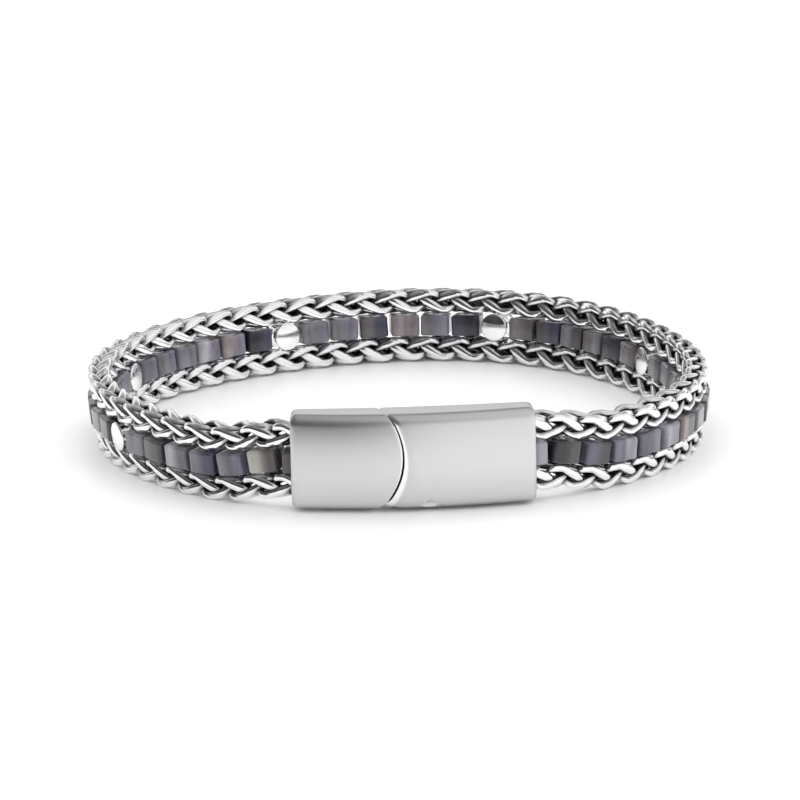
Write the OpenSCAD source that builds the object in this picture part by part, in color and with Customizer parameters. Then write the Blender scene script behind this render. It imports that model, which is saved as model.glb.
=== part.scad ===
// Beaded bracelet: two woven steel chains with a row of stone beads and steel
// discs between them, closed by a wide clasp in two halves.
// Millimetres. Z points up and the lower chain lies on z = 0, clasp to the front (-Y).

/* [Loop] */
// Mean radius of the centre line
loop_r = 35.42; // [30:0.02:40]
// Share of the radius that makes the loop oval
loop_oval = 0.011; // [0:0.001:0.08]
// Direction of the oval's long axis, degrees
loop_oval_dir = -75; // [-90:1:90]
// Share of the radius that makes the loop egg-shaped
loop_egg = 0.0155; // [0:0.0005:0.05]
// Direction of the egg's wide end, degrees
loop_egg_dir = -44; // [-60:1:60]
// Share of the radius that makes flatter runs
loop_flat = 0.0135; // [0:0.0005:0.04]
// Direction of a rounder corner, degrees
loop_flat_dir = -22; // [-45:1:45]
// Lean of the band, its upper edge outward, degrees
flare = 5; // [0:0.5:12]

/* [Chains] */
// Width of a chain's section across the band
chain_w = 2.85; // [2:0.05:4]
// Height of a chain's section
chain_h = 3.1; // [2:0.05:4]
// Cut on the corners of the section
chain_corner = 0.75; // [0.2:0.05:1.2]
// Space between the two chains
chain_gap = 2.85; // [2.2:0.05:5]
// Rings of the swept chain
chain_rings = 56; // [24:1:80]

/* [Beads] */
// Beads and discs in the row
bead_count = 50; // [30:1:60]
// Bead width along and across the row
bead_w = 3.55; // [2:0.05:4]
// Bead height
bead_h = 2.6; // [2:0.05:4]
// Rounding of the bead's upright edges
bead_side = 0.5; // [0.1:0.05:1.2]
// Rounding of the bead's top and bottom edges
bead_round = 0.28; // [0.1:0.02:1]
// Largest turn of a bead about its pin, degrees
bead_turn = 4; // [0:1:15]
// Largest rock of a bead along the row, degrees
bead_rock = 2; // [0:0.5:4]
// Turn of the first and last bead into line with the clasp, degrees
end_turn = 10; // [0:1:20]
// Part of the first and last bead that stands in the clasp
bead_tuck = 1.1; // [0:0.05:2]
// Shift of the row towards the clasp's left end
bead_shift = 0.2; // [-0.5:0.05:0.5]
// Hole for the pin
hole_d = 0.95; // [0.5:0.05:1.5]
// Pin diameter
pin_d = 0.7; // [0.3:0.05:1.2]
// Gap between a pin's end and the chain
pin_gap = 0.12; // [0.02:0.01:0.3]

/* [Discs] */
// Places of the discs, counted in beads from the clasp's right end
disc_places = [14, 21, 28, 35, 42]; // [0:1:60]
// Diameter of the two faces, which stand in front of the chains
disc_d = 3.4; // [2:0.05:4]
// Diameter between the chains
disc_waist = 2.6; // [1.5:0.05:3.5]
// Length across the band, from face to face
disc_len = 3.9; // [2:0.05:5]
// Thickness of a face
disc_face = 0.42; // [0.3:0.02:0.8]
// Bevel of the rims
disc_bevel = 0.22; // [0.1:0.02:0.8]

/* [Clasp] */
// Clasp width, seen from the front
clasp_w = 28.3; // [15:0.1:40]
// Clasp height
clasp_h = 11.1; // [8:0.1:14]
// Clasp thickness across the band, in the middle
clasp_t = 5.9; // [3.5:0.1:8]
// Radius of the clasp's outer face, seen from above
clasp_bend = 60; // [36:1:120]
// Radius of the clasp's inner face, seen from above
clasp_back = 150; // [60:5:300]
// Distance of the clasp's outer face from the centre line, in the middle
clasp_out = 1.6; // [1.5:0.05:4]
// Height of the clasp over the floor
clasp_lift = 0.3; // [0:0.05:1]
// Turn of the clasp's middle from the front, degrees
clasp_turn = 2.25; // [-10:0.25:10]
// Rounding of the long top and bottom edges
clasp_round = 1.4; // [0.3:0.05:2]
// Radius of the clasp's domed outer face, seen from the end
clasp_dome = 28; // [12:1:60]
// Corner rounding of the ends, seen from the front
clasp_corner = 0.9; // [0.3:0.1:3]
// Angle by which the ends close in towards the wrist, degrees
clasp_draft = 5; // [0:1:15]
// Radius of the curved seam between the halves
seam_r = 9.3; // [6.5:0.1:15]
// Place of the seam's tip, from the middle of the clasp
seam_at = -1.3; // [-8:0.1:8]
// Height of the seam's tip over the middle of the clasp
seam_up = 0.8; // [-2:0.1:2]
// Turn of the seam towards the left at its back, degrees
seam_slant = 15; // [-30:1:30]
// Gap of the seam
seam_gap = 0.12; // [0.05:0.01:0.4]
// Depth of the end sockets
socket_deep = 3.4; // [2:0.1:5]
// Wall round the end sockets
socket_wall = 0.45; // [0.3:0.05:1]
// Length over which the chains rise and straighten up to the sockets
socket_run = 10; // [4:0.5:20]
// Width of the notch in the right half's lower edge
notch_w = 2; // [0.5:0.1:4]
// Place of the notch from the middle of the clasp
notch_at = 1.8; // [-8:0.1:10]

/* [Hidden] */
arc_fn = 48;
samples = 180;
front = 270;
// gap between a chain's end and the bottom of its socket
end_gap = 0.2;
// slack of the shapes that trim the clasp, in millimetres and degrees
reach = 40;
past = 2;
// height that the front view's trim takes off, so that no two flat faces coincide
skim = 0.02;

// the section of the band: half a chain each way, both without the corners, and the pieces' heights
chain_in = chain_w / 2;
chain_top = chain_h / 2;
cut_in = chain_in - chain_corner;
cut_top = chain_top - chain_corner;
chain_up = chain_gap / 2 + chain_top;
bead_z = (chain_up + chain_top) * cos(flare) + cut_in * sin(flare);
clasp_z = clasp_lift + clasp_h / 2;

// radius of the centre line in the direction a
function loop_radius(a) = loop_r * (1 + loop_oval * cos(2 * (a - loop_oval_dir))
    + loop_egg * cos(3 * (a - loop_egg_dir)) + loop_flat * cos(4 * (a - loop_flat_dir)));
function loop_point(a) = loop_radius(a) * [cos(a), sin(a)];
function sample_angle(i) = clasp_angle + i * 360 / samples;

clasp_angle = front + clasp_turn;
arc_table = [for (i = 0, s = 0; i <= samples;
    s = s + norm(loop_point(sample_angle(i + 1)) - loop_point(sample_angle(i))), i = i + 1)
    [s, sample_angle(i)]];
loop_len = arc_table[samples][0];

// point and direction at the distance s round the loop from the clasp's middle
function at(s) = loop_point(lookup(s, arc_table));
function heading(s) = let (d = at(min(s + 0.5, loop_len)) - at(max(s - 0.5, 0))) atan2(d[1], d[0]);

// distance from the clasp's middle to its end along the centre line, and to a socket's bottom
clasp_end = loop_r * asin(clasp_w / 2 / loop_r) * PI / 180;
socket_end = clasp_end - socket_deep;

// direction in which the clasp faces, and the middle of its outer face
clasp_chord = at(clasp_end) - at(loop_len - clasp_end);
clasp_dir = atan2(clasp_chord[1], clasp_chord[0]) - 90;
clasp_m = at(0) + clasp_out * [cos(clasp_dir), sin(clasp_dir)];

// the band rises and loses its lean near the clasp: near = 0 far from it, 1 in the sockets
function from_clasp(s) = min(1, max(0, min(s, loop_len - s) - clasp_end) / socket_run);
function near(s) = let (u = from_clasp(s)) 1 - u * u * (3 - 2 * u);
function rise(s) = (clasp_z - bead_z) * near(s);
function lean(s) = flare * (1 - near(s));
function pitch(s) = atan(rise(s + 0.5) - rise(s - 0.5));

// bead places: even steps between the clasp's two ends
bead_first = clasp_end - bead_tuck + bead_shift;
bead_last = clasp_end - bead_tuck - bead_shift;
bead_step = (loop_len - bead_first - bead_last) / (bead_count - 1);
function bead_s(k) = bead_first + k * bead_step;
function turn(k) = k == 0 ? -end_turn : k == bead_count - 1 ? end_turn : bead_turn * sin(227 * k + 40);
function rock(k) = bead_rock * (1 - near(bead_s(k))) * sin(131 * k + 70);
stone_set = [for (k = [0:bead_count - 1]) if (search(k, disc_places) == []) k];

clasp_left();
clasp_right();
upper_chain();
lower_chain();
bead_pins();
stone_beads();
steel_discs();

// puts children at bead place k, their X along the row and their Y to the inside
module at_bead(k, twist = 0) {
    s = bead_s(k);
    translate([at(s)[0], at(s)[1], bead_z + rise(s)])
        rotate([0, 0, heading(s)])
            rotate([lean(s), -pitch(s), 0])
                rotate([0, 0, twist])
                    children();
}

// rectangle with rounded corners
module soft_square(w, d, r) {
    square([w - 2 * r, d], center = true);
    square([w, d - 2 * r], center = true);
    for (x = [-1, 1], y = [-1, 1])
        translate([x * (w / 2 - r), y * (d / 2 - r)])
            circle(r, $fn = arc_fn);
}

// block with its upright edges rounded by side and its others by r: three rounded bars that cross
module soft_block(w, d, h, side, r) {
    intersection() {
        linear_extrude(2 * h, center = true)
            soft_square(w, d, side);
        rotate([90, 0, 0])
            linear_extrude(2 * d, center = true)
                soft_square(w, h, r);
        rotate([90, 0, 90])
            linear_extrude(2 * w, center = true)
                soft_square(d, h, r);
    }
}

module pin_hole() {
    cylinder(h = 2 * chain_gap, d = hole_d, center = true, $fn = arc_fn);
}

// rounded stone cubes, each drilled upright for its pin
module stone_beads() {
    color([0.42, 0.41, 0.45])
        for (k = stone_set)
            at_bead(k, turn(k))
                rotate([0, rock(k), 0])
                    difference() {
                        soft_block(bead_w, bead_w, bead_h, bead_side, bead_round);
                        pin_hole();
                    }
}

// steel discs with two bevelled faces, one to the outside and one to the inside of the band, and a
// waist between them that fits between the chains
module steel_discs() {
    r = disc_d / 2;
    h = disc_len / 2;
    half = [[r - disc_bevel, h], [r, h - disc_bevel], [r, h - disc_face], [disc_waist / 2, h - disc_face]];
    other = [for (i = [3:-1:0]) [half[i][0], -half[i][1]]];
    rim = concat([[0, h]], half, other, [[0, -h]]);
    color([0.8, 0.8, 0.82])
        for (k = disc_places)
            at_bead(k)
                difference() {
                    rotate([90, 0, 0])
                        rotate_extrude($fn = arc_fn)
                            polygon(rim);
                    pin_hole();
                }
}

// one upright pin through each bead and disc
module bead_pins() {
    color([0.5, 0.5, 0.52])
        for (k = [0:bead_count - 1])
            at_bead(k)
                cylinder(h = chain_gap - 2 * pin_gap, d = pin_d, center = true, $fn = arc_fn);
}

// corners of the chain's section: [to the inside, up], each corner cut
chain_section = [
    [chain_in, -cut_top], [chain_in, cut_top], [cut_in, chain_top], [-cut_in, chain_top],
    [-chain_in, cut_top], [-chain_in, -cut_top], [-cut_in, -chain_top], [cut_in, -chain_top]];

// solid swept round the loop from one socket to the other, up = its place over the beads' middle
module swept_chain(up) {
    first = socket_end + end_gap;
    step = (loop_len - 2 * first) / (chain_rings - 1);
    sides = len(chain_section);
    last = (chain_rings - 1) * sides;
    points = [for (i = [0:chain_rings - 1], c = chain_section)
        let (s = first + i * step, p = at(s), inward = heading(s) + 90,
            side = c[0] * cos(lean(s)) - (up + c[1]) * sin(lean(s)),
            high = c[0] * sin(lean(s)) + (up + c[1]) * cos(lean(s)))
        [p[0] + side * cos(inward), p[1] + side * sin(inward), bead_z + rise(s) + high]];
    walls = [for (i = [0:chain_rings - 2], j = [0:sides - 1], half = [0, 1])
        let (a = i * sides + j, b = i * sides + (j + 1) % sides)
        half == 0 ? [a, a + sides, b] : [b, a + sides, b + sides]];
    ends = [[for (j = [0:sides - 1]) j], [for (j = [sides - 1:-1:0]) last + j]];
    polyhedron(points = points, faces = concat(walls, ends), convexity = 6);
}

// chain above the beads
module upper_chain() {
    color([0.75, 0.75, 0.77])
        swept_chain(chain_up);
}

// chain below the beads
module lower_chain() {
    color([0.75, 0.75, 0.77])
        swept_chain(-chain_up);
}

// puts children at the middle of the clasp's outer face: X to the right, Y to the inside
module at_clasp() {
    translate([clasp_m[0], clasp_m[1], clasp_z])
        rotate([0, 0, clasp_dir + 90])
            children();
}

// bar of a rounded section bent to the radius r, its outer side at the distance y from the
// outer face; dome is the radius of that side seen from the end
module bent_bar(r, y, w, inset, dome) {
    span = asin(clasp_w / 2 / (r - w)) + past;
    translate([0, y + r, 0])
        rotate([0, 0, front - span])
            rotate_extrude(angle = 2 * span, $fn = 4 * arc_fn)
                intersection() {
                    translate([r - w / 2, 0])
                        soft_square(w - 2 * inset, clasp_h - 2 * inset, clasp_round - inset / 2);
                    translate([r - dome, 0])
                        circle(dome - inset, $fn = 4 * arc_fn);
                }
}

// the clasp without its ends: a domed bar outside and a straighter one inside, where they meet
module clasp_body(inset = 0) {
    deep = 2 * clasp_t;
    intersection() {
        bent_bar(clasp_bend, 0, deep, inset, clasp_dome);
        bent_bar(clasp_back, clasp_t - deep, deep, inset, clasp_back);
    }
}

// the whole closed clasp, trimmed to its front view and to ends that close in
module clasp_bar() {
    slope = reach * tan(clasp_draft);
    plan = [[-clasp_w / 2 - slope, -reach], [clasp_w / 2 + slope, -reach],
        [clasp_w / 2 - slope, reach], [slope - clasp_w / 2, reach]];
    intersection() {
        clasp_body();
        rotate([90, 0, 0])
            linear_extrude(reach, center = true)
                soft_square(clasp_w, clasp_h - skim, clasp_corner);
        linear_extrude(reach, center = true)
            polygon(plan);
    }
}

// hollow for the chains' ends, in the right end (side 1) or in the left (side -1)
module socket(side) {
    intersection() {
        clasp_body(socket_wall);
        translate([side * (clasp_w / 2 - socket_deep + reach / 2), 0, 0])
            cube([reach, reach, reach], center = true);
    }
}

// everything to the left of the curved seam
module seam_fan(r) {
    translate([seam_at, 0, 0])
        rotate([0, 0, seam_slant]) {
            rotate([90, 0, 0])
                translate([-seam_r, seam_up, 0])
                    cylinder(h = reach, r = r, center = true, $fn = 2 * arc_fn);
            translate([-seam_r - reach / 2, 0, 0])
                cube([reach, reach, reach], center = true);
        }
}

// left half: convex at the seam
module clasp_left() {
    color([0.72, 0.72, 0.73])
        at_clasp()
            difference() {
                intersection() {
                    clasp_bar();
                    seam_fan(seam_r);
                }
                socket(-1);
            }
}

// right half: hollowed at the seam, with a notch in the lower edge
module clasp_right() {
    color([0.72, 0.72, 0.73])
        at_clasp()
            difference() {
                clasp_bar();
                seam_fan(seam_r + seam_gap);
                socket(1);
                translate([notch_at, 0, -clasp_h / 2])
                    sphere(d = notch_w, $fn = arc_fn);
            }
}
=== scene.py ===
# %% [markdown]
# # A beaded bracelet of woven steel, stone cubes and a wide clasp
# The bracelet is one closed loop. Two chains of bent steel links run round it, one above the other.
# Between them stands a row of small grey stone cubes with five steel discs, and a wide satin clasp
# in two halves closes the loop at the front.
# The CAD model is loaded first, because every piece is built on the same centre line as its solids.

# %% Load the CAD model
import math
import bmesh
import bpy
import numpy as np
from mathutils import Matrix, Vector


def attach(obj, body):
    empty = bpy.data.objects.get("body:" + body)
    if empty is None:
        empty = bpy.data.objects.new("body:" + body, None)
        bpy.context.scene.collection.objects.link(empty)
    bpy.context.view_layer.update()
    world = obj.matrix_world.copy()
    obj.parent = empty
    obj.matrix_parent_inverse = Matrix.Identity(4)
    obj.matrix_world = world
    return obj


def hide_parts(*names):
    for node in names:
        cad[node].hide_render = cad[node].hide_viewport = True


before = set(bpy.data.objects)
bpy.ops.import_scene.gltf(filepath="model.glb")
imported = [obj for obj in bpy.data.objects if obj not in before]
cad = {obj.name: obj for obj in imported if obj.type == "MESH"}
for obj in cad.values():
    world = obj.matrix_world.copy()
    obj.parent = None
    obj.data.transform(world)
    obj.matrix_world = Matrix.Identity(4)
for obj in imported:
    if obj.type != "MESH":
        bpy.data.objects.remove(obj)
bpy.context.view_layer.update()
print("CAD nodes:", sorted(cad))

# %% [markdown]
# ## The line that everything follows
# On the real bracelet the chains give the loop its form: nearly round, a little egg-shaped where it
# was laid down. A circle would be simpler, but the beads would then stand beside their real places.
# So the line is a circle with three small waves in its radius, and a table turns a distance along
# it into a point. Distances start at the clasp's middle and run counter-clockwise, in millimetres.

# %% The loop
MM = 0.001
loop_r = 35.42
# Share of the radius, number of crests and the first crest's angle in degrees
waves = [(0.011, 2, -75), (0.0155, 3, -44), (0.0135, 4, -22)]
clasp_angle = 272.25


def loop_point(a):
    r = loop_r * (1 + sum(share * np.cos(n * (a - math.radians(d))) for share, n, d in waves))
    return np.stack([r * np.cos(a), r * np.sin(a)], axis=-1)


angles = np.radians(clasp_angle + np.linspace(0, 360, 181))
steps = np.linalg.norm(np.diff(loop_point(angles), axis=0), axis=1)
lengths = np.concatenate([[0], np.cumsum(steps)])
loop_len = lengths[-1]
print(f"centre line {loop_len:.1f} mm")


def at(s):
    return loop_point(np.interp(s, lengths, angles))


def heading(s):
    d = at(s + 0.5) - at(s - 0.5)
    return np.arctan2(d[..., 1], d[..., 0])


# %% [markdown]
# ## How the band stands
# The band leans outward at its upper edge by a few degrees. Near the clasp it straightens up and
# rises, because the clasp is taller than the band and holds it at its own middle.
# One function places any point of the band: a distance along it, a distance to the inside and a
# height over the beads' middle. Beads and links both use it, so they can't drift apart.

# %% Place a point of the band
flare = math.radians(5)
clasp_w, clasp_h, clasp_t = 28.3, 11.08, 5.9
clasp_z = 5.85
chain_w, chain_h, chain_round, chain_gap = 2.85, 3.1, 0.75, 2.85
chain_up = chain_gap / 2 + chain_h / 2
# The beads' middle, so high that the leaning lower chain just meets the surface
bead_z = ((chain_gap / 2 + chain_h) * math.cos(flare)
          + (chain_w / 2 - chain_round) * math.sin(flare))
clasp_end = loop_r * math.asin(clasp_w / 2 / loop_r)
socket_deep, socket_run = 3.4, 10


def near_clasp(s):
    u = np.clip((np.minimum(s, loop_len - s) - clasp_end) / socket_run, 0, 1)
    return 1 - u * u * (3 - 2 * u)


def rise(s):
    return (clasp_z - bead_z) * near_clasp(s)


def band_point(s, inward, up):
    lean = flare * (1 - near_clasp(s))
    side = inward * np.cos(lean) - up * np.sin(lean)
    high = inward * np.sin(lean) + up * np.cos(lean)
    p, turn = at(s), heading(s) + math.pi / 2
    return np.stack([p[..., 0] + side * np.cos(turn), p[..., 1] + side * np.sin(turn),
                     bead_z + rise(s) + high], axis=-1)


# %% [markdown]
# ## A helper that turns numbers into a mesh
# All pieces here are grids of points: rings along a wire, rings round a bead, rings along the
# clasp. One helper makes the Blender mesh from points in millimetres and stores extra values on
# the points, which the materials read by name.

# %% Mesh helper
def make_piece(name, points, faces, replaces, values=None):
    mesh = bpy.data.meshes.new(name)
    mesh.from_pydata((np.asarray(points) * MM).tolist(), [], [list(f) for f in faces])
    for key, data in (values or {}).items():
        data = np.asarray(data, dtype=np.float32)
        kind = "FLOAT" if data.ndim == 1 else "FLOAT_VECTOR"
        layer = mesh.attributes.new(key, kind, "POINT")
        layer.data.foreach_set("value" if data.ndim == 1 else "vector", data.ravel())
    shell = bmesh.new()
    shell.from_mesh(mesh)
    bmesh.ops.recalc_face_normals(shell, faces=shell.faces)
    shell.to_mesh(mesh)
    shell.free()
    mesh.polygons.foreach_set("use_smooth", [True] * len(mesh.polygons))
    mesh.update()
    piece = bpy.data.objects.new(name, mesh)
    bpy.context.collection.objects.link(piece)
    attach(piece, "root")
    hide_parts(replaces)
    print(f"{name}: {len(mesh.polygons)} faces")
    return piece


def grid_faces(rows, columns, close_rows=False):
    r = np.arange(rows if close_rows else rows - 1)[:, None]
    c = np.arange(columns)[None, :]
    a, b = r * columns + c, r * columns + (c + 1) % columns
    d, e = (r + 1) % rows * columns + c, (r + 1) % rows * columns + (c + 1) % columns
    return np.stack(np.broadcast_arrays(a, b, e, d), axis=-1).reshape(-1, 4)


def repeat_faces(rows, columns, count, close_rows=False):
    one = grid_faces(rows, columns, close_rows)
    return np.concatenate([one + i * rows * columns for i in range(count)])


# %% [markdown]
# ## The woven chains
# Each chain is a wheat chain: links bent into a U pass through each other in two crossed sets. One
# set has its tips on one diagonal of the square section, the other set on the other diagonal, half
# a step later. A link comes up out of the weave at a corner, turns over it and runs slantwise down
# the face as a broad curved leaf with a blunt end. On each face one set lies over the other.
# A plain formula gives thin pointed leaves, so half of the wire is drawn through a few given
# places: one leg that lies on top and one that lies below. Turned halfway round, the same two legs
# close the link, and a smooth curve runs through all the places.

# %% One link's wire
# Along the chain, out to the face, towards the corner, half the wire's width
over = np.array([
    (-4.25, 0.25, 0.25, 0.28), (-4.21, 0.48, 0.48, 0.30), (-3.94, 0.76, 0.76, 0.33),
    (-3.42, 0.98, 0.94, 0.37), (-2.76, 1.05, 0.93, 0.43), (-2.10, 1.02, 0.68, 0.50),
    (-1.45, 0.95, 0.35, 0.56), (-0.85, 0.86, 0.04, 0.57), (-0.30, 0.74, -0.21, 0.50),
    (0.05, 0.55, -0.34, 0.43), (0.16, 0.33, -0.33, 0.38)])
under = np.array([
    (-4.25, 0.25, 0.25, 0.28), (-4.21, 0.46, 0.48, 0.30), (-3.94, 0.70, 0.78, 0.34),
    (-3.42, 0.84, 0.95, 0.39), (-2.76, 0.89, 0.96, 0.47), (-2.10, 0.87, 0.86, 0.54),
    (-1.45, 0.80, 0.67, 0.55), (-0.85, 0.68, 0.42, 0.50), (-0.30, 0.54, 0.13, 0.43),
    (0.05, 0.42, -0.16, 0.39), (0.16, 0.33, -0.33, 0.38)])
around, along = 10, 84
phi = np.arange(around) / around * 2 * math.pi


def smooth_loop(points, count):
    n = len(points)
    u = np.arange(count) / count * n
    i, f = u.astype(int), (u % 1)[:, None]
    a, b, c, d = [points[(i + k) % n] for k in (-1, 0, 1, 2)]
    return b + 0.5 * f * (c - a + f * (2 * a - 5 * b + 4 * c - d + f * (3 * (b - c) + d - a)))


def link_line():
    back = under[:, [0, 2, 1, 3]]
    halfway = [1, -1, -1, 1]
    legs = [over[:-1], (back * halfway)[:0:-1], (over * halfway)[:-1], back[:0:-1]]
    return smooth_loop(np.concatenate(legs), along)


def link_wire(loop):
    line, wide = loop[:, :3], loop[:, 3]
    tangent = np.roll(line, -1, axis=0) - np.roll(line, 1, axis=0)
    tangent /= np.linalg.norm(tangent, axis=1)[:, None]
    # Cubed, the way out from the chain's middle turns towards the nearer face
    outward = line ** 3 * [0, 1, 1]
    outward -= (outward * tangent).sum(axis=1)[:, None] * tangent
    outward /= np.linalg.norm(outward, axis=1)[:, None]
    across = np.cross(tangent, outward)
    high = 0.22 + 0.4 * wide
    return (line[:, None] + (high[:, None] * np.cos(phi))[..., None] * outward[:, None]
            + (wide[:, None] * np.sin(phi))[..., None] * across[:, None])


loop = link_line()
wire = link_wire(loop)
print("link in mm:", np.round(np.ptp(wire, axis=(0, 1)), 2))

# %% [markdown]
# Light hardly gets in between the links, so shade is painted into the steel's colour there. A
# shader could look for such places with extra rays, but the weave repeats, so it is enough to
# measure one
# link: how far each point lies from the chain's middle and from the neighbours' wires, and how near
# it is to the wire's crest. The product says how open the point lies and sets the painted shade,
# and every link gets the same values.

# %% How open each point of a link lies, for the painted shade
links, end_room = 50, 0.2
weave_start = clasp_end - socket_deep + end_room
link_places = np.linspace(weave_start - wire[..., 0].min(),
                          loop_len - weave_start - wire[..., 0].max(), links)
step = link_places[1] - link_places[0]


def ramp(value, low, high):
    return np.clip((value - low) / (high - low), 0, 1)


def painted_shade_openness():
    crossed = loop[:, [0, 2, 1]] * [1, 1, -1]
    others = np.concatenate([loop[:, :3] + [step * k, 0, 0] for k in (-1, 1)]
                            + [crossed + [step * k, 0, 0] for k in (-1.5, -0.5, 0.5, 1.5)])
    near = np.linalg.norm(wire[:, :, None] - others, axis=-1).min(axis=-1)
    face, corner = np.abs(wire[..., 1:]).max(axis=-1), np.hypot(wire[..., 1], wire[..., 2])
    out = 0.7 * face + 0.3 * corner
    return ramp(out, 0.6, 1.2) * ramp(near, 0.38, 0.72) * ramp(np.cos(phi), -0.4, 0.5)


painted_shade_open_part = painted_shade_openness()
print(f"step {step:.2f} mm, open part {painted_shade_open_part.mean():.2f}")


# %% Weave a chain
def weave(name, up, cad_node):
    out, high = wire[..., 1], wire[..., 2]
    one_set = (-out, high, link_places)
    crossed_set = (-high, -out, link_places[:-1] + step / 2)
    points = []
    for inward, height, starts in (one_set, crossed_set):
        inward = np.clip(inward, -chain_w / 2, chain_w / 2)
        height = np.clip(height * chain_h / chain_w, -chain_h / 2, chain_h / 2)
        points += [band_point(s + wire[..., 0], inward, up + height).reshape(-1, 3)
                   for s in starts]
    faces = repeat_faces(along, around, len(points), close_rows=True)
    # Every link carries the same openness, which paints shade into its colour
    painted_shade_opened = np.tile(painted_shade_open_part.ravel(), len(points))
    points = np.concatenate(points)
    # No wire dips under the surface that the bracelet lies on
    points[:, 2] = np.maximum(points[:, 2], 0)
    return make_piece(name, points, faces, cad_node, {"painted_shade_open": painted_shade_opened})


upper_links = weave("upper_links", chain_up, "upper_chain")
lower_links = weave("lower_links", -chain_up, "lower_chain")

# %% [markdown]
# ## The stone cubes
# The beads are small cubes of banded grey stone with rounded edges, each drilled upright for its
# pin. A bevelled cube with a cut hole would do, but its mesh would be uneven round the hole.
# Instead rings of points run out of the hole, over the top, down the side and back into the hole,
# so the edges are evenly round and the mesh is all quads.

# %% The rings of one bead
bead_w, bead_h, bead_side, bead_round, hole_r = 3.55, 2.6, 0.5, 0.28, 0.475
corner_steps, edge_steps = 6, 5


def square_ring(half, radius):
    q = np.linspace(0, math.pi / 2, corner_steps + 1)
    arc = np.stack([np.cos(q), np.sin(q)], axis=-1) * radius + (half - radius)
    flips = [(1, 1, False), (-1, 1, True), (-1, -1, False), (1, -1, True)]
    ring = []
    for x, y, back in flips:
        part = arc * [x, y]
        ring.append(part[::-1] if back else part)
    return np.concatenate(ring)


def bead_rings():
    half = bead_w / 2
    face = square_ring(half - bead_round, bead_side - bead_round)
    hole = face / np.linalg.norm(face, axis=1)[:, None] * hole_r
    rings = []
    for end in (-1, 1):
        top = end * bead_h / 2
        part = [(hole, top), (hole * 0.4 + face * 0.6, top), (face, top)]
        for q in np.linspace(0, math.pi / 2, edge_steps + 1)[1:]:
            inset = bead_round * (1 - math.sin(q))
            part.append((square_ring(half - inset, bead_side - inset),
                         end * (bead_h / 2 - bead_round * (1 - math.cos(q)))))
        rings += part if end < 0 else part[::-1]
    return np.stack([np.column_stack([xy, np.full(len(xy), z)]) for xy, z in rings])


bead = bead_rings()
print("bead rings:", bead.shape[0], "of", bead.shape[1], "points")

# %% [markdown]
# ## The colours of the row
# Seen from the clasp's left end and going clockwise, each stone has its own grey: some nearly
# black, some navy or purple, some light and warm, and many change from one end to the other.
# Such a short row is charted one by one, with a tone for each end of each bead.

# %% Chart the stones
# The polished stone's own colours, as shares of red, green and blue
tones = {
    "black": (0.006, 0.006, 0.011), "dark": (0.035, 0.033, 0.039), "navy": (0.032, 0.031, 0.058),
    "umber": (0.075, 0.064, 0.066), "slate": (0.085, 0.080, 0.108), "grey": (0.115, 0.111, 0.123),
    "mauve": (0.135, 0.127, 0.165), "pink": (0.19, 0.16, 0.165), "pale": (0.25, 0.245, 0.275),
    "warm": (0.31, 0.30, 0.275)}
row = """
dark dark, warm umber, grey slate, grey navy, pale grey, umber dark, grey grey, disc disc,
dark dark, dark grey, umber umber, grey grey, dark dark, grey mauve, disc disc,
slate slate, mauve grey, grey mauve, mauve pale, mauve pink, navy black, disc disc,
mauve grey, mauve grey, navy umber, pink pink, mauve grey, black navy, disc disc,
umber grey, navy dark, dark grey, grey umber, black dark, umber grey, disc disc,
dark grey, grey grey, grey dark, dark grey, grey grey, dark mauve, mauve grey,
pink umber, pale mauve, slate mauve, mauve pale, slate dark, black umber, pale pale
"""
chart = [tuple(entry.split()) for entry in row.replace("\n", " ").split(",")]
print(len(chart), "places, discs at", [i for i, c in enumerate(chart) if c[0] == "disc"])

# %% [markdown]
# ## Setting the stones in the row
# Each cube is turned into line with the row and leans and climbs with the band. It is also twisted
# a little about its pin and rocks on it, as loose beads do, so the gaps between the stones become
# narrow wedges. Its two tones, its place within the cube and a number of its own are stored on its
# points for the stone's material.

# %% Set the stones
bead_count, bead_tuck, bead_shift = len(chart), 1.1, 0.2
twist_most, twist_at_clasp, rock_most = 4, 10, 2
bead_first = clasp_end - bead_tuck + bead_shift
bead_step = (loop_len - bead_first - (clasp_end - bead_tuck - bead_shift)) / (bead_count - 1)


def bead_place(k):
    s = bead_first + k * bead_step
    lean = flare * (1 - near_clasp(s))
    climb = math.atan(rise(s + 0.5) - rise(s - 0.5))
    turn = (Matrix.Rotation(heading(s), 3, "Z") @ Matrix.Rotation(-climb, 3, "Y")
            @ Matrix.Rotation(lean, 3, "X"))
    return turn, np.array([*at(s), bead_z + rise(s)])


def bead_turn(k):
    # The factors 227 and 131 scatter the angles, so that no pattern shows along the row
    at_clasp = {0: -twist_at_clasp, bead_count - 1: twist_at_clasp}
    twist = at_clasp.get(k, twist_most * math.sin(math.radians(227 * k + 40)))
    free = 1 - near_clasp(bead_first + k * bead_step)
    rock = rock_most * free * math.sin(math.radians(131 * k + 70))
    return (Matrix.Rotation(math.radians(twist), 3, "Z")
            @ Matrix.Rotation(math.radians(rock), 3, "Y"))


flat = bead.reshape(-1, 3)
points, stored = [], {"in_bead": [], "tone_first": [], "tone_last": [], "own": []}
for place, (clockwise, counter) in enumerate(chart):
    if clockwise == "disc":
        continue
    turn, middle = bead_place(bead_count - 1 - place)
    turn = np.array(turn @ bead_turn(bead_count - 1 - place))
    points.append(flat @ turn.T + middle)
    stored["in_bead"].append(flat)
    stored["tone_first"].append(np.tile(tones[clockwise], (len(flat), 1)))
    stored["tone_last"].append(np.tile(tones[counter], (len(flat), 1)))
    stored["own"].append(np.full(len(flat), place * 0.73))
stones = make_piece("stone_cubes", np.concatenate(points),
                    repeat_faces(*bead.shape[:2], len(points), close_rows=True),
                    "stone_beads",
                    {key: np.concatenate(parts) for key, parts in stored.items()})

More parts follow.
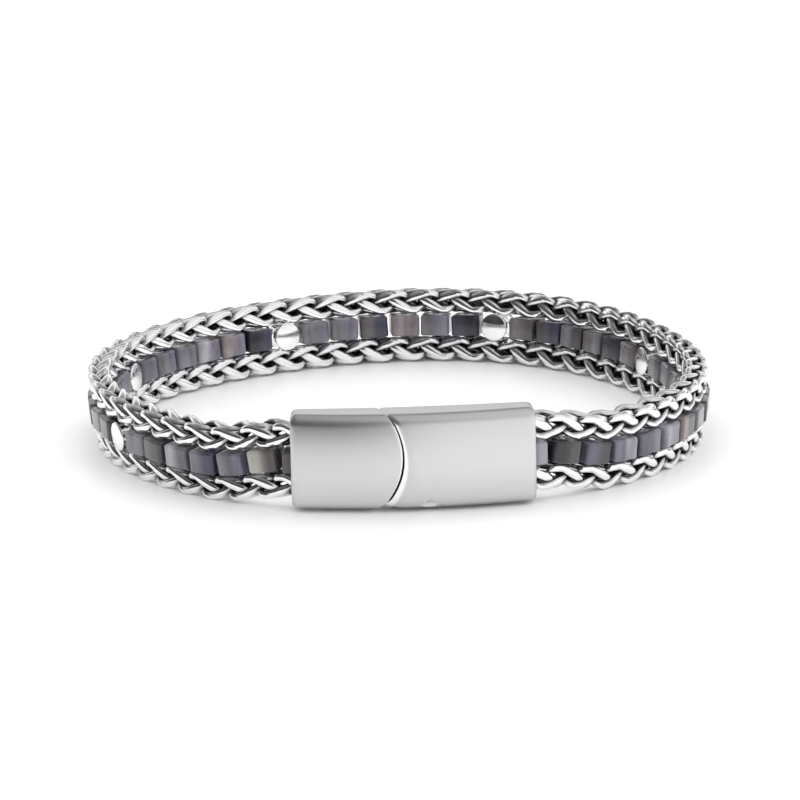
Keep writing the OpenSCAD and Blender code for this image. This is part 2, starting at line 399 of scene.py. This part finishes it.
# %% [markdown]
# ## The discs
# Five steel discs stand among the stones like spools: two polished faces in front of the chains and
# a thinner waist between them. The faces swell a little, which catches the light as a bright oval
# or, where they face something dark, as a dark one with a bright rim. A turned form is a profile
# run round an axis, so each disc is a grid of rings. The pin fills its hole, so no hole is cut.

# %% Turn the discs
face_r, face_h, rim_h, waist_r, swell = 1.7, 1.95, 1.53, 1.3, 0.2
flat_r, rim_round, disc_around = 0.88 * face_r, 0.16, 40
half = [(flat_r * t, face_h - swell * t * t) for t in (0.001, 0.2, 0.4, 0.6, 0.8, 0.93, 1.0)]
half += [(flat_r + (face_r - flat_r) * math.sin(q),
          face_h - swell - rim_round * (1 - math.cos(q))) for q in np.radians([30, 55, 75, 90])]
half += [(face_r, rim_h + 0.05), (face_r - 0.04, rim_h), (waist_r, rim_h)]
profile = np.array(half + [(r, -h) for r, h in half[::-1]])
radius, height = profile[:, :1], profile[:, 1:]
q = np.arange(disc_around) / disc_around * 2 * math.pi
disc = np.stack([radius * np.cos(q), height + 0 * q, radius * np.sin(q)], axis=-1)
points = []
for place, (clockwise, counter) in enumerate(chart):
    if clockwise == "disc":
        turn, middle = bead_place(bead_count - 1 - place)
        points.append(disc.reshape(-1, 3) @ np.array(turn).T + middle)
discs = make_piece("polished_discs", np.concatenate(points),
                   repeat_faces(*disc.shape[:2], len(points)), "steel_discs")

# %% [markdown]
# ## The clasp
# The clasp is a bent steel bar with a slightly domed face, soft long edges and open ends that
# take the chains. It is in two halves that meet at a curved seam: the left one ends in a bulge,
# the right one is hollowed to take it. A boolean cut would give the seam sharp, ragged edges.
# So each half is a grid: a rounded section with many rings along the clasp, whose last rings
# follow the seam's arc and turn in over a bevel of their own.

# %% The clasp's section
edge_r, dome_r = 1.4, 26
bend_out, bend_in = 60, 138.2
arc_z = clasp_h / 2 - edge_r
touch = math.asin(arc_z / (dome_r - edge_r))
dome_h = dome_r * math.sin(touch)
# The heights of the points on the domed face, closer together low down
close_below = -3.2
levels = np.concatenate([np.linspace(-dome_h, close_below, 8),
                         np.linspace(close_below, dome_h, 22)[1:]])


def bow(x, r):
    return r - np.sqrt(r * r - x * x)


def clasp_section():
    # Height, depth on the front and on the back, and the face's tilt, from the bottom up
    q = np.linspace(touch, math.pi / 2, 12)[1:]
    high = arc_z + edge_r * np.sin(q)
    front = dome_r - (dome_r - edge_r) * math.cos(touch) - edge_r * np.cos(q)
    back = edge_r * (1 - np.cos(q))
    return (np.concatenate([-high[::-1], levels, high]),
            np.concatenate([front[::-1], bow(levels, dome_r), front]),
            np.concatenate([back[::-1], 0 * levels, back]),
            np.concatenate([-q[::-1], np.arcsin(levels / dome_r), q]))


sec_z, sec_front, sec_back, sec_tilt = clasp_section()
print("clasp section:", 2 * len(sec_z), "points")

# %% [markdown]
# ## The seam
# The seam is an arc, and it runs slantwise to the left towards the back, which shows on top of the
# clasp. On the left half its edge is only broken a little and painted lighter as a thin highlight.
# On the right half it has a soft bevel that grows wider towards the bottom and ends in a polished
# strip, painted lighter as the brightest highlight on the whole clasp. The last rings of both turn
# inward and are painted dark as shade, for hardly any light gets into the gap.
# Each ring is the whole section at one place along the clasp, moved inward by its inset. The first
# rings line the socket, then come the rounded end, the plain stretch, the bevel and the gap.

# %% Where the rings of a half run
seam_r, seam_at, seam_up, seam_gap = 9.3, -1.3, 0.8, 0.12
seam_slant, end_slant, end_x = math.radians(15), math.radians(5), 14
socket_wall, end_long, end_deep = 0.45, 0.8, 0.42
gap_deep = (0.1, 0.3)
# The whole section: up the front and down the back
z = np.concatenate([sec_z, sec_z[::-1]])
tilt = np.concatenate([sec_tilt, sec_tilt[::-1]])
offset = np.concatenate([sec_front, sec_back[::-1]])
front = np.arange(len(z)) < len(sec_z)
deep_normal = np.where(front, -np.cos(tilt), np.cos(tilt))


def clasp_depth(x):
    return np.where(front, offset, clasp_t + bow(x, bend_in) - bow(x, bend_out) - offset)


def clasp_ring(x, inset):
    deep = clasp_depth(x) - inset * deep_normal
    return np.stack([x, bow(x, bend_out) + deep, z - inset * np.sin(tilt)], axis=-1)


def half_rings(side, wide, drop, profile):
    slant_in = math.tan(end_slant) * (bow(end_x, bend_out) + clasp_depth(end_x))
    outer = side * (clasp_w / 2 - slant_in)
    arc_r = seam_r + (0.5 * seam_gap if side > 0 else 0)
    arc = np.sqrt(arc_r ** 2 - (z - seam_up) ** 2) - seam_r
    seam = seam_at + (arc - clasp_depth(seam_at) * math.sin(seam_slant)) / math.cos(seam_slant)
    rings = [clasp_ring(outer - side * deep, socket_wall) for deep in (socket_deep, 2.2, 1.0, 0)]
    rings += [clasp_ring(outer - side * end_long * (1 - math.sin(q)),
                         end_deep * (1 - math.cos(q))) for q in np.linspace(math.pi / 2, 0, 8)]
    start, stop = outer - side * end_long, seam + side * wide
    # A coarse stretch, a close one that ends at the notch and a middling one to the bevel
    share = np.concatenate([np.linspace(0, 0.62, 22), np.linspace(0.62, 0.78, 26)[1:],
                            np.linspace(0.78, 1, 10)[1:]])
    rings += [clasp_ring(start + u * (stop - start), 0) for u in share[1:]]
    rings += [clasp_ring(seam + side * wide * (1 - u), drop * fall) for u, fall in profile]
    return np.stack(rings + [clasp_ring(seam, drop + deep) for deep in gap_deep])


print("points round the section:", len(z))

# %% [markdown]
# ## The two halves
# Both halves use the same rings. The clasp is set along the straight line between the chains'
# ends, a little in front of it. The right half also has a small half-moon notch in its lower edge.
# A cut would leave ragged faces, so the notch is pressed in: points within its radius move out to
# it. Values on the points tell the material where the steel is polished and painted lighter as a
# highlight, and where the gap is painted dark as shade.

# %% Build both halves
chord = at(clasp_end) - at(loop_len - clasp_end)
clasp_turn, clasp_off = math.atan2(chord[1], chord[0]), 1.59
clasp_out = clasp_off * np.array([math.sin(clasp_turn), -math.cos(clasp_turn)])
clasp_middle = np.array([*(at(0.0) + clasp_out), clasp_z])
polish_and_highlight_top = 4.4
notch, notch_r = np.array([1.7, 0, -clasp_h / 2]), 1.2


def clasp_half(name, side, wide, deepest, profile, bevel_rings, cad_node):
    grid = half_rings(side, wide, deepest * (wide / wide.max()) ** 0.5, profile)
    # The polished rings and the notch get a lighter colour as a painted highlight, the gap's rings
    # get painted shade
    polish_and_painted_highlight, gap = np.zeros(grid.shape[:2]), np.zeros(grid.shape[:2])
    polish_and_painted_highlight[-bevel_rings - 2:-2] = z < polish_and_highlight_top
    gap[-2:] = 1
    if side > 0:
        away = grid - notch
        far = np.linalg.norm(away, axis=-1, keepdims=True)
        polish_and_painted_highlight = np.maximum(polish_and_painted_highlight, far[..., 0] < notch_r)
        grid = np.where(far < notch_r, notch + away / np.maximum(far, 1e-6) * notch_r, grid)
    turn = np.array(Matrix.Rotation(clasp_turn, 3, "Z"))
    points = grid.reshape(-1, 3) @ turn.T + clasp_middle
    faces = grid_faces(*grid.shape[:2]).tolist()
    for first in (0, (len(grid) - 1) * len(z)):
        faces += [[first + i, first + i + 1, first + len(z) - 2 - i, first + len(z) - 1 - i]
                  for i in range(len(sec_z) - 1)]
    return make_piece(name, points, faces, cad_node,
                      {"polish_and_painted_highlight": polish_and_painted_highlight.ravel(), "gap": gap.ravel()})


# Share of the way to the seam and share of the full depth
broken_edge = [(q, q * q) for q in (0.25, 0.5, 0.75, 1.0)]
soft_bevel = [(0.12, 0.01), (0.24, 0.04), (0.36, 0.10), (0.48, 0.18), (0.60, 0.27), (0.72, 0.38),
              (0.86, 0.66), (1.0, 1.0)]
edge_wide = np.full(len(z), 0.16)
# From 0.7 mm at the top to 3.4 mm at the bottom
bevel_wide = 0.7 + 2.7 * np.clip(0.5 - z / clasp_h, 0, 1) ** 1.5
clasp_left = clasp_half("clasp_left_half", -1, edge_wide, 0.12, broken_edge, 4, "clasp_left")
clasp_right = clasp_half("clasp_right_half", 1, bevel_wide, 0.55, soft_bevel, 3, "clasp_right")

# %% [markdown]
# ## Shared surface effects
# Real metal and stone are never evenly smooth. A node group gives the steels and the stone the same
# kind of fine unevenness, each with its own scale and strength: a roughness that varies over the
# surface and a height for a slight bump. Noise textures do this without any image.

# %% Node helpers
def node(tree, kind, inputs=None, **settings):
    made = tree.nodes.new(kind)
    for key, value in settings.items():
        setattr(made, key, value)
    for key, value in (inputs or {}).items():
        if isinstance(value, bpy.types.NodeSocket):
            tree.links.new(value, made.inputs[key])
        else:
            made.inputs[key].default_value = value
    return made


def stored_value(tree, name, output="Fac"):
    return node(tree, "ShaderNodeAttribute", attribute_name=name).outputs[output]


def blend(tree, factor, low, high, kind="FLOAT"):
    mixed = node(tree, "ShaderNodeMix", {"Factor": factor, "A": low, "B": high}, data_type=kind)
    return mixed.outputs["Result"]


# %% The group of fine marks
bump_high = 0.02 * MM


def fine_marks_group():
    tree = bpy.data.node_groups.new("Fine marks", "ShaderNodeTree")
    for label, value in (("Scale", 400.0), ("Stretch", 1.0), ("Low", 0.2), ("High", 0.3)):
        socket = tree.interface.new_socket(label, in_out="INPUT", socket_type="NodeSocketFloat")
        socket.default_value = value
    for label in ("Roughness", "Height"):
        tree.interface.new_socket(label, in_out="OUTPUT", socket_type="NodeSocketFloat")
    given = node(tree, "NodeGroupInput").outputs
    place = node(tree, "ShaderNodeTexCoord").outputs["Object"]
    pull = node(tree, "ShaderNodeCombineXYZ", {"X": 1.0, "Y": 1.0, "Z": given["Stretch"]})
    place = node(tree, "ShaderNodeVectorMath", {0: place, 1: pull.outputs[0]},
                 operation="MULTIPLY").outputs[0]
    cloud = node(tree, "ShaderNodeTexNoise", {"Vector": place, "Scale": given["Scale"],
                 "Detail": 3.0})
    rough = node(tree, "ShaderNodeMapRange", {"Value": cloud.outputs["Fac"], "From Min": 0.3,
                "From Max": 0.7, "To Min": given["Low"], "To Max": given["High"]})
    fine_scale = node(tree, "ShaderNodeMath", {0: given["Scale"], 1: 7.0}, operation="MULTIPLY")
    fine = node(tree, "ShaderNodeTexNoise", {"Vector": place, "Scale": fine_scale.outputs[0],
                "Detail": 2.0})
    node(tree, "NodeGroupOutput", {"Roughness": rough.outputs[0], "Height": fine.outputs["Fac"]})
    return tree


fine_marks = fine_marks_group()


def material(name, **values):
    made = bpy.data.materials.new(name)
    made.use_nodes = True
    shader = made.node_tree.nodes["Principled BSDF"]
    for key, value in values.items():
        shader.inputs[key.replace("_", " ")].default_value = value
    return made, made.node_tree, shader


def mark_surface(tree, shader, scale, low, high, bump, stretch=1.0):
    marks = node(tree, "ShaderNodeGroup", node_tree=fine_marks)
    for key, value in (("Scale", scale), ("Stretch", stretch), ("Low", low), ("High", high)):
        marks.inputs[key].default_value = value
    tree.links.new(marks.outputs["Roughness"], shader.inputs["Roughness"])
    raised = node(tree, "ShaderNodeBump", {"Height": marks.outputs["Height"], "Strength": bump,
                  "Distance": bump_high})
    tree.links.new(raised.outputs[0], shader.inputs["Normal"])
    return marks.outputs["Roughness"]


print("group sockets:", [item.name for item in fine_marks.interface.items_tree])

# %% [markdown]
# ## Steel
# The clasp is satin: light spreads softly over it, so it has a middling roughness with a very faint
# grain. The strip along the seam and the notch are polished and painted lighter as a highlight, and
# values on the grid's points tell where. The chains, discs and pins are polished all over. In the
# depth of the weave and along the wires' sides shade is painted in: the steel's colour is darker
# where little light gets. The colour follows the value measured on the links, which paints a dark
# line of shade round each one.

# %% Make the steels
satin, tree, shader = material("satin_clasp", Metallic=1.0)
grain = mark_surface(tree, shader, 900, 0.28, 0.32, 0.004, stretch=4.0)
polish_and_painted_highlight, gap = stored_value(tree, "polish_and_painted_highlight"), stored_value(tree, "gap")
# Painted highlight: the polished strip and the notch get a much lighter colour than the satin
colour = blend(tree, polish_and_painted_highlight, (0.635, 0.635, 0.64, 1), (0.95, 0.95, 0.955, 1), "RGBA")
# Painted shade: the rings inside the seam's gap are nearly black
colour = blend(tree, gap, colour, (0.01, 0.01, 0.011, 1), "RGBA")
tree.links.new(colour, shader.inputs["Base Color"])
tree.links.new(blend(tree, polish_and_painted_highlight, grain, 0.12), shader.inputs["Roughness"])

woven, tree, shader = material("polished_wire", Metallic=1.0)
mark_surface(tree, shader, 700, 0.09, 0.14, 0.02)
# Painted shade: the closed places of the weave get the dark colour
colour = blend(tree, stored_value(tree, "painted_shade_open"), (0.17, 0.17, 0.175, 1), (0.98, 0.98, 0.985, 1),
               "RGBA")
tree.links.new(colour, shader.inputs["Base Color"])

bright, tree, shader = material("polished_discs_and_pins", Metallic=1.0,
                                Base_Color=(0.90, 0.90, 0.91, 1))
mark_surface(tree, shader, 1200, 0.08, 0.16, 0.03)
print("steels:", satin.name, woven.name, bright.name)

# %% [markdown]
# ## Stone
# The cubes are polished banded stone. Their own two tones run into each other along the row, soft
# upright bands of lighter and darker grey cross them, and a clear gloss lies over everything.
# The place within the cube drives it, so the pattern sits in each bead and not in the whole loop.

# %% Make the stone
stone, tree, shader = material("grey_banded_stone", IOR=1.5, Coat_Weight=0.5, Coat_Roughness=0.12)
inside, own = stored_value(tree, "in_bead", "Vector"), stored_value(tree, "own")
first = stored_value(tree, "tone_first", "Color")
last = stored_value(tree, "tone_last", "Color")
parts = node(tree, "ShaderNodeSeparateXYZ", {0: inside}).outputs
pulled = node(tree, "ShaderNodeVectorMath", {0: inside, 1: (1.0, 0.5, 0.22)},
              operation="MULTIPLY")
bands = node(tree, "ShaderNodeTexNoise", {"Vector": pulled.outputs[0], "W": own, "Scale": 0.9,
             "Detail": 1.0, "Roughness": 0.5}, noise_dimensions="4D")
wobble = node(tree, "ShaderNodeMath", {0: bands.outputs["Fac"], 1: 1.4, 2: -0.7},
              operation="MULTIPLY_ADD")
along_bead = node(tree, "ShaderNodeMath", {0: parts["X"], 1: wobble.outputs[0]}, operation="ADD")
step_over = node(tree, "ShaderNodeMapRange", {"Value": along_bead.outputs[0], "From Min": -0.8,
                 "From Max": 0.8}, interpolation_type="SMOOTHSTEP")
tone = blend(tree, step_over.outputs[0], first, last, "RGBA")
glow = node(tree, "ShaderNodeMapRange", {"Value": bands.outputs["Fac"], "From Min": 0.25,
            "From Max": 0.75, "To Min": 0.62, "To Max": 1.6})
tone = node(tree, "ShaderNodeVectorMath", {0: tone, "Scale": glow.outputs[0]}, operation="SCALE")
tree.links.new(tone.outputs[0], shader.inputs["Base Color"])
mark_surface(tree, shader, 500, 0.22, 0.4, 0.02)
print("stone:", stone.name, "with", len(tree.nodes), "nodes")

# %% Dress every piece
for piece, made in ((clasp_left, satin), (clasp_right, satin), (upper_links, woven),
                    (lower_links, woven), (stones, stone), (discs, bright)):
    piece.data.materials.clear()
    piece.data.materials.append(made)
for place in cad["bead_pins"].material_slots:
    place.material = bright
print("materials:", [m.name for m in bpy.data.materials])

# %% [markdown]
# ## Floor and light
# The photo was taken on a white surface in a light tent: the background is white and the shadows
# are soft. The floor is a large pale plane. The sky gives most of the light, more from behind than
# from the front, so the shadow lies in front of the clasp. Polished metal only looks like metal if
# it has something dark to reflect. So rays that bounce off gloss see the tent with a dark part in
# front on the left, darkest low down. At the back they see a dark strip lowest, a bright strip
# over it and a darker part above, which draws the shaded band along the clasp's upper edge.

# %% Floor
bpy.ops.mesh.primitive_plane_add(size=8, location=(0, 0, 0))
floor = bpy.context.object
floor.name = "floor"
pale, tree, shader = material("pale_floor", Base_Color=(0.93, 0.93, 0.93, 1), Roughness=0.4)
floor.data.materials.append(pale)
print("floor:", floor.dimensions[:2])

# %% Sky
sky = bpy.data.worlds.new("tent")
bpy.context.scene.world = sky
sky.use_nodes = True
tree = sky.node_tree
facing = node(tree, "ShaderNodeTexCoord").outputs["Generated"]
parts = node(tree, "ShaderNodeSeparateXYZ", {0: facing}).outputs


def fade(value, start, stop, low=0.0, high=1.0):
    return node(tree, "ShaderNodeMapRange", {"Value": value, "From Min": start, "From Max": stop,
                "To Min": low, "To Max": high}, interpolation_type="SMOOTHSTEP").outputs[0]


def times(first, second):
    return node(tree, "ShaderNodeMath", {0: first, 1: second}, operation="MULTIPLY").outputs[0]


bright_part = times(fade(parts["Z"], 0.1, 0.8, 1.08, 0.55), fade(parts["Y"], 0.1, 0.9, 1.0, 0.7))
at_the_back = times(fade(parts["Z"], 0.06, 0.2, 0.06, 0.98),
                    fade(parts["Z"], 0.34, 0.66, 1.0, 0.3))
dark_part = fade(parts["Z"], 0.0, 0.95, 0.02, 0.17)
on_the_left = times(fade(parts["X"], 0.12, -0.10), fade(parts["Y"], 0.6, 0.1))
seen = blend(tree, fade(parts["Y"], 0.3, 0.6), bright_part, at_the_back)
seen = blend(tree, on_the_left, seen, dark_part)
gloss = node(tree, "ShaderNodeLightPath").outputs["Is Glossy Ray"]
from_behind = node(tree, "ShaderNodeMapRange", {"Value": parts["Y"], "From Min": -1.0,
                   "To Min": 0.94, "To Max": 1.84}).outputs[0]
strength = blend(tree, gloss, from_behind, seen)
tree.links.new(strength, tree.nodes["Background"].inputs["Strength"])
tree.nodes["Background"].inputs["Color"].default_value = (1, 1, 1, 1)
print("sky:", len(tree.nodes), "nodes")

# %% The lamp overhead
light = bpy.data.lights.new("overhead", "AREA")
light.shape, light.size, light.energy = "DISK", 1.2, 0.8
lamp = bpy.data.objects.new("overhead", light)
lamp.location = (0.25, -0.1, 0.7)
lamp.rotation_euler = (-lamp.location).to_track_quat("-Z", "Y").to_euler()
bpy.context.collection.objects.link(lamp)
print("lamp:", light.energy, "W")

# %% [markdown]
# ## Camera
# The camera looks at the clasp from the front and a little above. Its height, distance and slight
# roll come from matching the centres of the beads and discs to their places in the photo. The
# distance is long against the bracelet's size, so the lens is long too.

# %% Camera
down, away, roll = math.radians(14.23), 0.7, math.radians(1.35)
photo_px, px_per_m, shift_px = 800, 8367, -4.6
eye = bpy.data.cameras.new("camera")
eye.sensor_width = 36
eye.lens = px_per_m * away / photo_px * eye.sensor_width
eye.shift_y = shift_px / photo_px
camera = bpy.data.objects.new("camera", eye)
place = Vector((0, -away * math.cos(down), away * math.sin(down) + bead_z * MM))
camera.matrix_world = (Matrix.Translation(place) @ Matrix.Rotation(math.pi / 2 - down, 4, "X")
                       @ Matrix.Rotation(-roll, 4, "Z"))
bpy.context.collection.objects.link(camera)
bpy.context.scene.camera = camera
bpy.context.scene.view_settings.view_transform = "Standard"
print(f"lens {eye.lens:.0f} mm")
